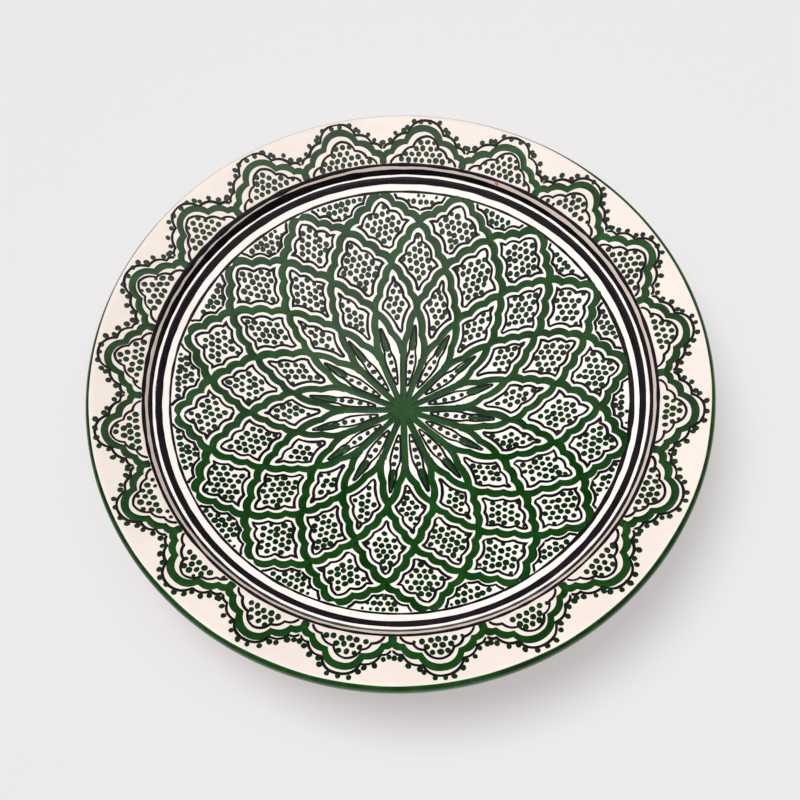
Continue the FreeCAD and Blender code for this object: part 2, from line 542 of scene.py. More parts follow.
@dataclass(frozen=True)
class WhiteGlaze:
    """Thick warm white glaze, mottled by the brush and a little pinholed, with painted light in the well and
    painted shade on the shoulder of the moulding.
    """

    name: str = "glaze_on_the_face"
    body: Colour = (0.955, 0.895, 0.845, 1)
    blush: Colour = (0.93, 0.82, 0.74, 1)
    # painted light: the well keeps the lighter body colour to make up for the shade in its hollow, and from
    # the moulding outward the glaze takes this darker rim colour
    rim: Colour = (0.83, 0.728, 0.665, 1)
    painted_well_light_edge: tuple[float, float] = (0.157, 0.167)
    shoulder_shade: float = 0.55              # how dark the painted shade on the shoulder of the moulding is, in the brown of clay under thin glaze
    # the radii where the painted shade on the shoulder rises and falls
    shoulder_shade_at: tuple[float, ...] = (0.1614, 0.1622, 0.1640, 0.1650)
    speck: Colour = (0.30, 0.17, 0.10, 1)
    mottle: float = 0.55
    roughness: float = 0.17
    # the clay brown that the painted shade on the shoulder blends toward
    clay: Colour = (0.50, 0.36, 0.29, 1)
    cloud_scale: float = 22
    streak_scale: float = 60
    speck_scale: float = 420

    def build(self) -> bpy.types.Material:
        """Make the material.

        Returns:
            The material.
        """
        tree = Tree(self.name)
        clouds = tree.ramp(tree.noise(self.cloud_scale, 4), 0.38, 0.75, 0.0, self.mottle)
        streaks = tree.ramp(tree.noise(self.streak_scale, 3, (1.0, 3.2, 1.0)), 0.50, 0.80, 0.0, 0.35)
        share = tree.sum("ADD", clouds, streaks)
        colour = tree.blend(share, self.body, self.blush)
        # painted light: lighter white in the well, darker rim colour from the moulding out to the lip
        thin = tree.ramp(tree.from_axis(), *self.painted_well_light_edge)
        colour = tree.blend(thin, colour, tree.blend(share, self.rim, self.blush))
        # painted shade: the shoulder of the moulding is darkened toward clay brown
        shoulder = tree.sum("MULTIPLY", tree.ramp(tree.from_axis(), *self.shoulder_shade_at[:2], 0.0, self.shoulder_shade),
                            tree.ramp(tree.from_axis(), *self.shoulder_shade_at[2:], 1.0, 0.0))
        colour = tree.blend(shoulder, colour, self.clay)
        specks = tree.ramp(tree.noise(self.speck_scale, 1), 0.80, 0.86, 0.0, 0.55)
        tree.put(tree.shader.inputs["Base Color"], tree.blend(specks, colour, self.speck))
        tree.glassy(self.roughness)
        return tree.material


@dataclass(frozen=True)
class Enamel:
    """Brushed enamel: deep where it pools, thinner and paler where the brush ran dry."""

    name: str
    deep: Colour
    thin: Colour
    streaks: float = 0.5        # how much the hairs of the brush show
    pooling: float = 0.35       # how much deeper the edges are
    roughness: float = 0.15
    shine: float = 0.5          # how much of the room it mirrors
    hair_scale: float = 150
    wash_scale: float = 75

    def build(self) -> bpy.types.Material:
        """Make the material.

        Returns:
            The material.
        """
        tree = Tree(self.name)
        along, edge = tree.brush_map()
        hairs = tree.noise(1.0, 3, (self.hair_scale, 5.0, 1.0), along)
        hairs = tree.ramp(hairs, 0.42, 0.72, 0.0, self.streaks)
        washes = tree.ramp(tree.noise(self.wash_scale, 2), 0.35, 0.75, 0.0, 0.45)
        tone = tree.sum("MULTIPLY", tree.attribute("tone"), 0.5)
        paint = tree.sum("ADD", tree.sum("ADD", hairs, washes), tone)
        pooled = tree.ramp(edge, 0.55, 1.0, 1.0, 1.0 - self.pooling)
        share = tree.sum("MULTIPLY", paint, pooled)
        tree.put(tree.shader.inputs["Base Color"], tree.blend(share, self.deep, self.thin))
        tree.shader.inputs["Specular IOR Level"].default_value = self.shine
        tree.glassy(self.roughness)
        return tree.material


@dataclass(frozen=True)
class BareClay:
    """Fired red earthenware with turning lines, grog and dusty pores."""

    name: str = "fired_red_clay"
    body: Colour = (0.55, 0.19, 0.075, 1)
    pale: Colour = (0.60, 0.30, 0.17, 1)
    dark: Colour = (0.20, 0.07, 0.035, 1)
    roughness: float = 0.85
    cloud_scale: float = 35
    pore_scale: float = 700
    grain_scale: float = 900
    grain_depth: float = 0.25 * MM

    def build(self) -> bpy.types.Material:
        """Make the material.

        Returns:
            The material.
        """
        tree = Tree(self.name)
        clouds = tree.ramp(tree.noise(self.cloud_scale, 5), 0.35, 0.70)
        colour = tree.blend(clouds, self.body, self.pale)
        pores = tree.ramp(tree.noise(self.pore_scale, 2), 0.62, 0.75, 0.0, 0.7)
        tree.put(tree.shader.inputs["Base Color"], tree.blend(pores, colour, self.dark))
        tree.shader.inputs["Roughness"].default_value = self.roughness
        grain = tree.sum("ADD", tree.noise(self.grain_scale, 3), tree.sum("MULTIPLY", tree.noise(60, 2), 0.5))
        tree.bump(grain, self.grain_depth, 0.7)
        return tree.material


@dataclass(frozen=True)
class StudioFloor:
    """Pale paper on a light table, which glows a little so that shadows stay thin."""

    name: str = "studio_floor"
    paper: Colour = (0.475, 0.47, 0.475, 1)
    fibre: Colour = (0.44, 0.44, 0.44, 1)
    glow: float = 0.60

    def build(self) -> bpy.types.Material:
        """Make the material.

        Returns:
            The material.
        """
        tree = Tree(self.name)
        grain = tree.ramp(tree.noise(900, 2), 0.3, 0.7, 0.0, 0.06)
        colour = tree.blend(grain, self.paper, self.fibre)
        tree.put(tree.shader.inputs["Base Color"], colour)
        tree.put(tree.shader.inputs["Emission Color"], colour)
        tree.shader.inputs["Emission Strength"].default_value = self.glow
        tree.shader.inputs["Roughness"].default_value = 0.95
        tree.shader.inputs["Specular IOR Level"].default_value = 0.0
        return tree.material


class Finish(Enum):
    """The finishes of the dish, by the piece of work they are used for."""

    WHITE = WhiteGlaze()
    BACK = WhiteGlaze("glaze_on_the_back", (0.90, 0.81, 0.70, 1), (0.74, 0.55, 0.40, 1), mottle=0.8,
                      roughness=0.24, shoulder_shade=0.0)
    GREEN = Enamel("brushed_green", (0.0006, 0.026, 0.0008, 1), (0.010, 0.074, 0.009, 1))
    DOTS = Enamel("dotted_green", (0.0006, 0.015, 0.0012, 1), (0.005, 0.042, 0.007, 1), streaks=0.2,
                  pooling=0.5)
    BLACK = Enamel("brushed_black", (0.0022, 0.0016, 0.003, 1), (0.016, 0.012, 0.017, 1), 0.6, 0.3,
                    shine=0.25)
    CLAY = BareClay()

    def material(self) -> bpy.types.Material:
        """The material of this finish, made once."""
        return bpy.data.materials.get(self.value.name) or self.value.build()


# ---------------------------------------------------------------- making pieces


def only(piece: bpy.types.Object) -> None:
    """Select one piece and make it active, with nothing else selected.

    Args:
        piece: the piece.
    """
    if bpy.context.object and bpy.context.object.mode != "OBJECT":
        bpy.ops.object.mode_set(mode="OBJECT")
    bpy.ops.object.select_all(action="DESELECT")
    piece.select_set(True)
    bpy.context.view_layer.objects.active = piece


def finish_piece(piece: bpy.types.Object, finish: Finish,
                 stands_for: Sequence[str] = ()) -> bpy.types.Object:
    """Dress a piece and hand it to the frame.

    Args:
        piece: the piece, in its place.
        finish: what it is covered with.
        stands_for: the CAD nodes that it is shown in place of.

    Returns:
        The piece.
    """
    piece.data.materials.clear()
    piece.data.materials.append(finish.material())
    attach(piece, BODY)
    if stands_for:
        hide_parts(*stands_for)
    log.info("%s: %d faces", piece.name, len(piece.data.polygons))
    return piece


def turn_on_wheel(name: str, outline: Sequence[tuple[float, float]], steps: int = 256) -> bpy.types.Object:
    """Turn a closed outline into a solid about the upright axis.

    Args:
        name: the piece's name.
        outline: radius and height of each corner, in order round the section.
        steps: how many steps one turn is cut into.

    Returns:
        The turned piece, closed and smooth.
    """
    bpy.ops.object.select_all(action="DESELECT")
    bpy.ops.mesh.primitive_plane_add(size=1.0)
    piece = bpy.context.object
    piece.name = name
    piece.data.name = name
    section = bpy.data.meshes.new(name)
    closed_on_axis = outline[0][0] == 0 and outline[-1][0] == 0
    count = len(outline)
    edges = [(k, (k + 1) % count) for k in range(count - closed_on_axis)]
    section.from_pydata([(radius, 0, height) for radius, height in outline], edges, [])
    plane = piece.data
    piece.data = section
    bpy.data.meshes.remove(plane)
    only(piece)
    bpy.ops.object.mode_set(mode="EDIT")
    bpy.ops.mesh.select_all(action="SELECT")
    bpy.ops.mesh.spin(steps=steps, angle=2 * math.pi, center=(0, 0, 0), axis=(0, 0, 1))
    bpy.ops.mesh.select_all(action="SELECT")
    bpy.ops.mesh.remove_doubles(threshold=1e-6)
    bpy.ops.mesh.normals_make_consistent(inside=False)
    bpy.ops.object.mode_set(mode="OBJECT")
    bpy.ops.object.shade_smooth_by_angle(angle=math.radians(50))
    return piece


class Brushwork:
    """One colour of brushwork: strokes, dots and blots that become one piece on the face."""

    PROUD = 0.11 * MM
    ROOT = -0.20 * MM
    SECTION = ((-1.0, None), (-1.0, 0.3), (-0.6, 0.85), (0.0, 1.0), (0.6, 0.85), (1.0, 0.3),
               (1.0, None))
    DOME = ((0.5, 0.95), (0.8, 0.72), (1.0, 0.3), (1.0, None))

    def __init__(self, name: str, face: Face, hand: Hand, proud: float = 1.0) -> None:
        """Start with nothing painted.

        Args:
            name: the piece's name.
            face: the surface that it is painted on.
            hand: whose hand paints it.
            proud: its thickness beside the usual one.
        """
        self.name = name
        self.face = face
        self.hand = hand
        self.proud = proud * self.PROUD
        self.points: list[tuple[float, float, Optional[float]]] = []
        self.faces: list[list[int]] = []
        self.brush: list[tuple[float, float]] = []
        self.tones: list[float] = []

    def _add(self, point: np.ndarray, share: Optional[float], along: float, edge: float,
             tone: float) -> None:
        """Add one corner: its plan place, height share, stroke map and tone.

        Args:
            point: its place on the plan.
            share: its height as a share of the full thickness, or None for the root.
            along: how far along the stroke it is.
            edge: how far it is from the middle, where the edge is one.
            tone: how thin the paint of this stroke is, from 0 to 1.
        """
        self.points.append((float(point[0]), float(point[1]), share))
        self.brush.append((along, abs(edge)))
        self.tones.append(tone)

    def stroke(self, line: np.ndarray, width: float, across: Optional[np.ndarray] = None,
               closed: bool = False, taper: tuple[float, float] = (0.5, 0.5),
               pressure: float = 0.12, swell: float | np.ndarray = 1.0) -> None:
        """Paint a stroke along a line.

        Args:
            line: the middle of the stroke, point by point.
            width: its usual width.
            across: a vector across the stroke at each point, or None to work it out.
            closed: whether the end joins the start.
            taper: the length of the rounding at each end, in widths.
            pressure: how much the width varies along the stroke.
            swell: a planned share of the usual width, the same all along or point by point.
        """
        count = len(line)
        if across is None:
            across = self._mitred(line, closed)
        along = lengths_along(line)
        total = along[-1]
        half = 0.5 * width * (1 + self.hand.wander(count, total, pressure, 0.009))
        if closed:
            ease = np.clip(np.minimum(along, total - along) / 0.02, 0, 1)
            half = (half * ease + 0.5 * width * (1 - ease)) * swell
        else:
            start = np.clip(along / (taper[0] * width), 0, 1)
            end = np.clip((total - along) / (taper[1] * width), 0, 1)
            rounded = np.sqrt(1 - (1 - start) ** 2) * np.sqrt(1 - (1 - end) ** 2)
            half = half * np.maximum(rounded, 0.12)
        tone = self.hand.pick(0, 1)
        lane = self.hand.pick(0, 9)
        first = len(self.points)
        ring = len(self.SECTION)
        sense = self._sense(line, across)
        for k in range(count):
            for side, share in self.SECTION:
                place = line[k] + across[k] * (sense * side * half[k])
                self._add(place, share, lane + along[k], side, tone)
        spans = count if closed else count - 1
        for k in range(spans):
            here = first + k * ring
            there = first + (k + 1) % count * ring
            for j in range(ring):
                n = (j + 1) % ring
                self.faces.append([here + j, here + n, there + n, there + j])
        if not closed:
            self.faces.append([first + j for j in reversed(range(ring))])
            self.faces.append([first + (count - 1) * ring + j for j in range(ring)])

    @staticmethod
    def _sense(line: np.ndarray, across: np.ndarray) -> float:
        """One, or minus one where the given across points to the stroke's left.

        Args:
            line: the middle of the stroke.
            across: the vectors across it.

        Returns:
            The sign that sends the first side to the left.
        """
        middle = len(line) // 2
        forward = line[min(middle + 1, len(line) - 1)] - line[middle - 1]
        return -1.0 if float(np.dot(left_of(forward), across[middle])) > 0 else 1.0

    @staticmethod
    def _mitred(line: np.ndarray, closed: bool) -> np.ndarray:
        """A vector across a line at each point, longer at a corner so that the width holds.

        Args:
            line: the middle of the stroke.
            closed: whether the end joins the start.

        Returns:
            The vectors.
        """
        if closed:
            before = line - np.roll(line, 1, axis=0)
            after = np.roll(line, -1, axis=0) - line
        else:
            spans = np.diff(line, axis=0)
            before = np.vstack([spans[:1], spans])
            after = np.vstack([spans, spans[-1:]])
        before, after = units(before), units(after)
        middle = units(before + after)
        lean = np.maximum((middle * before).sum(1, keepdims=True), 0.62)
        return np.stack([middle[:, 1], -middle[:, 0]], axis=1) / lean

    def blot(self, centre: np.ndarray, radii: Sequence[float], turn: float = 0.0,
             stretch: float = 1.0) -> None:
        """Paint a filled blot.

        Args:
            centre: its middle.
            radii: how far it reaches, at even steps round it.
            turn: the angle of its long axis.
            stretch: its length over its width.
        """
        tone = self.hand.pick(0, 1)
        lane = self.hand.pick(0, 9)
        first = len(self.points)
        count = len(radii)
        cos, sin = math.cos(turn), math.sin(turn)
        self._add(centre, 1.0, lane, 0.0, tone)
        for reach, share in self.DOME:
            for k, radius in enumerate(radii):
                angle = 2 * math.pi * k / count
                u = reach * radius * math.cos(angle) * math.sqrt(stretch)
                v = reach * radius * math.sin(angle) / math.sqrt(stretch)
                place = centre + np.array([u * cos - v * sin, u * sin + v * cos])
                self._add(place, share, lane + 0.004 * k / count, reach, tone)
        for k in range(count):
            n = (k + 1) % count
            self.faces.append([first, first + 1 + k, first + 1 + n])
            for level in range(len(self.DOME) - 1):
                low = first + 1 + level * count
                high = low + count
                self.faces.append([low + k, high + k, high + n, low + n])
        last = first + 1 + (len(self.DOME) - 1) * count
        self.faces.append([last + k for k in reversed(range(count))])

    def dot(self, centre: np.ndarray, radius: float, corners: int = 12) -> None:
        """Paint a dot with the tip of the brush, not quite round.

        Args:
            centre: its middle.
            radius: about how big it is.
            corners: how many corners its edge has.
        """
        size = radius * (1 + self.hand.slip(0.07))
        lopside, turn = self.hand.slip(0.06), self.hand.pick(0, 6.3)
        wobble = [size * (1 + lopside * math.cos(2 * math.pi * k / corners - turn) + self.hand.slip(0.02))
                  for k in range(corners)]
        away = math.atan2(centre[1], centre[0]) + self.hand.slip(0.5)
        self.blot(centre, wobble, away, 1 + abs(self.hand.slip(0.14)))

    def piece(self, finish: Finish, slot: str, stands_for: Sequence[str] = ()) -> bpy.types.Object:
        """Lay the brushwork on the face and finish it as one piece.

        Args:
            finish: the paint.
            slot: the name of a material slot; it is not used.
            stands_for: the CAD nodes that it is shown in place of.

        Returns:
            The piece.
        """
        mesh = bpy.data.meshes.new(self.name)
        places = []
        for x, y, share in self.points:
            lift = self.ROOT if share is None else share * self.proud
            places.append((x, y, self.face.height(x, y) + lift))
        mesh.from_pydata(places, [], self.faces)
        layer = mesh.uv_layers.new(name="brush")
        corners = np.array([loop.vertex_index for loop in mesh.loops])
        layer.data.foreach_set("uv", np.array(self.brush, np.float32)[corners].ravel())
        tone = mesh.attributes.new("tone", "FLOAT", "POINT")
        tone.data.foreach_set("value", np.array(self.tones, np.float32))
        mesh.validate()
        mesh.update()
        piece = bpy.data.objects.new(self.name, mesh)
        bpy.context.scene.collection.objects.link(piece)
        only(piece)
        bpy.ops.object.shade_smooth_by_angle(angle=math.radians(35))
        return finish_piece(piece, finish, stands_for)


# ---------------------------------------------------------------- the turned layers


@dataclass
class Turning:
    """The layers that come off the wheel and out of the glaze tub."""

    face: Face
    hand: Hand
    coat: float = 0.5 * MM
    face_steps: int = 288
    back_steps: int = 224
    base_steps: int = 160
    foot_steps: int = 192
    lip_round: float = 4.0 * MM
    band_turn: float = 33.0         # where the lip band starts on the roll, in degrees
    band_starts: tuple[tuple[float, float], ...] = (    # where it really starts, all round the dish
        (0, 13), (44, 11), (56, 30), (72, 47), (100, 52), (132, 48), (152, 34), (168, 22), (200, 16),
        (275, 13), (360, 13))
    band_ragged: float = 6.0        # how uneven that start is, in degrees
    band_proud: float = 0.11 * MM
    band_root: float = -0.35 * MM
    band_edge: tuple[tuple[float, float], ...] = ((0, 0.9), (0.25, 0.25), (0.8, 0))     # inward, up, in mm
    bare_gap: float = 1.5 * MM      # unglazed clay beside the foot
    drip: float = 5.0 * MM          # how unevenly the back glaze ends above the foot
    drip_reach: float = 12.0 * MM   # how far out that is felt
    shrink: float = 3.0 * MM        # how unevenly the glaze inside the foot ends
    shrink_reach: float = 14.0 * MM
    back_step: float = 0.5 * MM     # how finely the back is measured
    back_soften: float = 1.5 * MM
    foot_soften: float = 1.6 * MM

    def build(self) -> None:
        """Make and dress every turned layer."""
        self._face_glaze()
        self._lip_band()
        self._back_glaze()
        self._base_glaze()
        self._foot_ring()
        self._clay()

    def _roll(self, angle: float, proud: float = 0.0) -> tuple[float, float]:
        """Radius and height of the lip's roll at an angle in degrees from the vertical.

        Args:
            angle: the angle.
            proud: how far outside the roll the place is.

        Returns:
            The radius and the height.
        """
        turn = math.radians(angle)
        reach = self.lip_round + proud
        return (self.face.lip_radius - self.lip_round + reach * math.sin(turn),
                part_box("face_glaze")[1].z - self.lip_round + reach * math.cos(turn))

    def _face_glaze(self) -> None:
        """The white coat over the face and part way round the roll, under the lip band."""
        brim = self.face.lip_radius - self.lip_round
        radii = np.unique(np.concatenate([
            np.arange(0, 0.150, 2.5 * MM), np.arange(0.150, 0.172, 0.35 * MM),
            np.arange(0.172, brim - 0.001, 2.0 * MM)]))
        top = [(float(r), self.face.profile(float(r))) for r in radii]
        top += [self._roll(angle) for angle in np.arange(0, 66, 8)]
        under = [(r - 0.4 * self.coat * (r > brim), z - self.coat) for r, z in top[::-3]]
        if under[-1][0] != 0:
            under.append((0.0, top[0][1] - self.coat))
        piece = turn_on_wheel("face_glaze_coat", top + under, self.face_steps)
        for vertex in piece.data.vertices:
            x, y, z = vertex.co
            vertex.co.z = z + self.face.height(x, y) - self.face.profile(math.hypot(x, y))
        finish_piece(piece, Finish.WHITE, ["face_glaze"])

    def _lip_band(self) -> None:
        """The green band that rolls over the lip and down its side, brushed on by hand."""
        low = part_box("lip_band")[0]
        outer = self.face.lip_radius
        turns = np.linspace(self.band_turn, 90, 10)
        arc = [self._roll(a, self.band_proud * math.cos(math.radians(a))) for a in turns]
        side = [(outer - inward * MM, low.z + up * MM) for inward, up in self.band_edge]
        inner = [self._roll(a, self.band_root) for a in turns[::-1]]
        piece = turn_on_wheel("lip_band_enamel", arc + side + inner, self.face_steps)
        centre = Vector((outer - self.lip_round, 0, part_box("face_glaze")[1].z - self.lip_round))
        for vertex in piece.data.vertices:
            self._uneven_start(vertex, centre)
        brush = piece.data.uv_layers.new(name="brush")
        for loop in piece.data.loops:
            place = piece.data.vertices[loop.vertex_index].co
            angle = math.atan2(place.y, place.x)
            brush.data[loop.index].uv = (angle * outer, 0.3)
        tone = piece.data.attributes.new("tone", "FLOAT", "POINT")
        for vertex in piece.data.vertices:
            angle = math.atan2(vertex.co.y, vertex.co.x)
            tone.data[vertex.index].value = 0.5 + 0.5 * math.sin(3 * angle + 1.0)
        finish_piece(piece, Finish.GREEN, ["lip_band"])

    def _uneven_start(self, vertex: bpy.types.MeshVertex, centre: Vector) -> None:
        """Slide one corner of the lip band round the roll, so that the band starts unevenly.

        Args:
            vertex: the corner.
            centre: the middle of the roll's section.
        """
        x, y, z = vertex.co
        radius = math.hypot(x, y)
        across, up = radius - centre.x, z - centre.z
        if up < 0:
            return
        turn = math.degrees(math.atan2(across, up))
        round_at = math.atan2(y, x)
        start = float(np.interp(math.degrees(round_at) % 360, *zip(*self.band_starts)))
        start += self.band_ragged * noise.noise(Vector((x, y, 0.5)) * 30)
        new = math.radians(90 - (90 - turn) * (90 - start) / (90 - self.band_turn))
        reach = math.hypot(across, up)
        wide = (centre.x + reach * math.sin(new)) / radius
        vertex.co = (x * wide, y * wide, centre.z + min(reach * math.cos(new), self.lip_round))

    def _back_glaze(self) -> None:
        """The thinner coat on the back, which ends unevenly above the foot."""
        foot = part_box("foot_ring")[1].x
        outline = self._underside(foot + self.bare_gap, self.face.lip_radius)
        inner = [(r - 0.2 * self.coat, z + 0.85 * self.coat) for r, z in outline[::-1]]
        piece = turn_on_wheel("back_glaze_coat", outline + inner, self.back_steps)
        (r0, z0), (r1, z1) = outline[0], outline[4]
        slope = (z1 - z0) / (r1 - r0)
        ends = r0 + 0.2 * MM
        for vertex in piece.data.vertices:
            radius = math.hypot(vertex.co.x, vertex.co.y)
            if radius < ends + self.drip_reach:
                angle = math.atan2(vertex.co.y, vertex.co.x)
                ring = Vector((math.cos(angle), math.sin(angle), 0.4))
                run = noise.noise(ring * 2.3) + 0.5 * noise.noise(ring * 7.0)
                pull = self.drip * max(0.0, 0.55 + run) * (1 - (radius - ends) / self.drip_reach)
                scale = 1 + max(0.0, pull) / radius
                vertex.co.z += slope * radius * (scale - 1)
                vertex.co.x *= scale
                vertex.co.y *= scale
        finish_piece(piece, Finish.BACK, ["back_glaze"])

    def _underside(self, start: float, end: float) -> list[tuple[float, float]]:
        """Corners of the back between two radii, read from the CAD coats and a little softened.

        Args:
            start: the first radius.
            end: the last radius.

        Returns:
            Radius and height of each corner.
        """
        outline = cad_section(("back_glaze", "base_glaze"), -1)
        grid = np.arange(0, end, self.back_step)
        sharp = np.interp(grid, outline[:, 0], outline[:, 1])
        soft = softened(sharp, self.back_step, self.back_soften, 8)
        soft = np.where(grid > end - 0.006, sharp, soft)
        radii = np.concatenate([np.arange(start, end - 0.008, 2.0 * MM),
                                np.arange(end - 0.008, end - 0.2 * MM, 0.8 * MM)])
        return [(float(r), float(np.interp(r, grid, soft))) for r in radii]

    def _base_glaze(self) -> None:
        """The pool of glaze inside the foot."""
        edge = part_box("base_glaze")[1].x
        outline = self._underside(0.0, edge + 0.008)
        outline = [(r, z) for r, z in outline if r < edge]
        inner = [(r, z + 0.8 * self.coat) for r, z in outline[::-1]]
        piece = turn_on_wheel("base_glaze_coat", outline + inner, self.base_steps)
        starts = edge - self.shrink_reach
        for vertex in piece.data.vertices:
            radius = math.hypot(vertex.co.x, vertex.co.y)
            if radius > starts:
                angle = math.atan2(vertex.co.y, vertex.co.x)
                ring = Vector((math.cos(angle), math.sin(angle), 1.7))
                pull = self.shrink * max(0.0, 0.5 + noise.noise(ring * 3.1))
                scale = 1 - pull * (radius - starts) / self.shrink_reach / radius
                vertex.co.x *= scale
                vertex.co.y *= scale
        finish_piece(piece, Finish.BACK, ["base_glaze"])

    def _foot_ring(self) -> None:
        """The bare foot: a softened ring with wiped edges."""
        low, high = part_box("foot_ring")
        outer = high.x
        inner = min(math.hypot(v.co.x, v.co.y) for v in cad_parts["foot_ring"].data.vertices)
        soft = self.foot_soften
        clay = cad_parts["foot_ring"].data.vertices
        inner_top = max(v.co.z for v in clay if math.hypot(v.co.x, v.co.y) < inner + 0.1 * MM)
        bends = [0.5 * math.pi * k / 6 for k in range(1, 6)]
        outline = [(inner, inner_top), (inner, low.z + soft)]
        outline += [(inner + soft * (1 - math.cos(a)), low.z + soft * (1 - math.sin(a))) for a in bends]
        outline += [(inner + soft, low.z), (0.5 * (inner + outer), low.z), (outer - soft, low.z)]
        outline += [(outer - soft * (1 - math.sin(a)), low.z + soft * (1 - math.cos(a))) for a in bends]
        outline += [(outer, low.z + soft), (outer, low.z + 0.5 * (high.z - low.z)), (outer, high.z)]
        piece = turn_on_wheel("foot_ring_clay", outline, self.foot_steps)
        finish_piece(piece, Finish.CLAY, ["foot_ring"])

    def _clay(self) -> None:
        """The CAD body itself, which shows only between the coats and the foot."""
        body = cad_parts["clay_body"]
        body.data.materials.clear()
        body.data.materials.append(Finish.CLAY.material())


# ---------------------------------------------------------------- rings in the moulding


@dataclass
class RingLine:
    """One brushed ring."""

    name: str
    node: str
    middle: float
    width: float
    wander: float = 0.25 * MM
    pressure: float = 0.14
    swell: float = 0.0          # extra width on one side of the dish, as a share; on the step line this is partly painted shadow
    swell_at: float = 0.0       # the angle of that side


@dataclass
class Moulding:
    """The rings that are brushed while the dish turns."""

    face: Face
    hand: Hand
    samples: int = 720
    aside: float = 0.2 * MM         # how far the rings are off the middle
    proud: float = 0.9              # how thick the rings are, beside the usual stroke
    waver: float = 1.9              # how often a ring wavers
    chip_at: tuple[float, float] = (163.2 * MM, 62.5)
    chip_radii: tuple[float, ...] = (1.1, 0.9, 1.5, 2.3, 1.0, 0.9, 1.3, 2.1)     # all round it, in mm
    chip_proud: float = 0.6
    rings: tuple[RingLine, ...] = (
        RingLine("flange_line_enamel", "flange_line", 164.6 * MM, 2.0 * MM, 0.2 * MM, 0.2,
                 0.5, 140),
        # the step line is painted wider toward 120 degrees: partly brushwork, partly painted shadow standing
        # for the shade on the step wall
        RingLine("step_line_enamel", "step_line", 160.9 * MM, 2.1 * MM, 0.12 * MM, 0.12,
                 0.6, 120),
        RingLine("well_band_enamel", "well_band", 156.0 * MM, 4.2 * MM, 0.15 * MM, 0.08),
        RingLine("rosette_border_enamel", "rosette_border", 149.1 * MM, 1.65 * MM, 0.3 * MM, 0.22,
                 1.1, 345),
    )

    def build(self) -> None:
        """Brush every ring, then knock the chip."""
        for ring in self.rings:
            brush = Brushwork(ring.name, self.face, self.hand, self.proud)
            angles = np.linspace(0, 2 * math.pi, self.samples, endpoint=False)
            offset = [noise.noise(Vector((*polar(self.waver, a), ring.middle * 900))) for a in angles]
            radii = ring.middle + 2 * ring.wander * np.array(offset) + self.aside * np.cos(angles)
            line = np.array([polar(r, a) for r, a in zip(radii, angles)])
            nearness = np.clip(np.cos(angles - math.radians(ring.swell_at)), 0, 1) ** 6
            brush.stroke(line, ring.width, closed=True, pressure=ring.pressure,
                         swell=1 + ring.swell * nearness)
            brush.piece(Finish.BLACK, "black_enamel", [ring.node])
        self._chip()

    def _chip(self) -> None:
        """The small chip of bare clay on the shoulder."""
        radius, angle = self.chip_at
        chip = Brushwork("glaze_chip", self.face, self.hand, self.chip_proud)
        chip.blot(polar(radius, math.radians(angle)), [reach * MM for reach in self.chip_radii])
        chip.piece(Finish.CLAY, "red_clay")


# ---------------------------------------------------------------- dots inside an outline


def fill_dots(brush: Brushwork, outline: np.ndarray, radius: float, pitch: float, row: float,
              tilt: float, first: Optional[np.ndarray] = None, clear: float = 0.6 * MM,
              scatter: float = 0.26 * MM) -> None:
    """Fill an outlined field with rows of dots.

    Args:
        brush: what paints them.
        outline: the closed outline of the field.
        radius: the size of a dot.
        pitch: the distance between dots in a row.
        row: the distance between rows.
        tilt: the angle of the rows.
        first: where one dot goes; anywhere when it is left out.
        clear: the gap kept from the outline's middle.
        scatter: how far a dot misses its place.
    """
    hand = brush.hand
    middle = outline.mean(0)
    reach = float(np.abs(outline - middle).max()) * 1.5
    along = np.array([math.cos(tilt), math.sin(tilt)])
    up = left_of(along)
    if first is None:
        first = middle + along * hand.pick(-0.5, 0.5) * pitch + up * hand.pick(-0.5, 0.5) * row
    places = []
    for j in range(-int(reach / row), int(reach / row) + 1):
        for i in range(-int(reach / pitch), int(reach / pitch) + 1):
            across = (i + 0.5 * (j % 2)) * pitch
            places.append(first + along * across + up * j * row + hand.shift(scatter))
    spots = np.array(places)
    least = radius * 0.35 + clear
    for spot, deep in zip(spots, inside_by(outline, spots)):
        if deep > least:
            brush.dot(spot, min(radius, deep))


# ---------------------------------------------------------------- the rosette


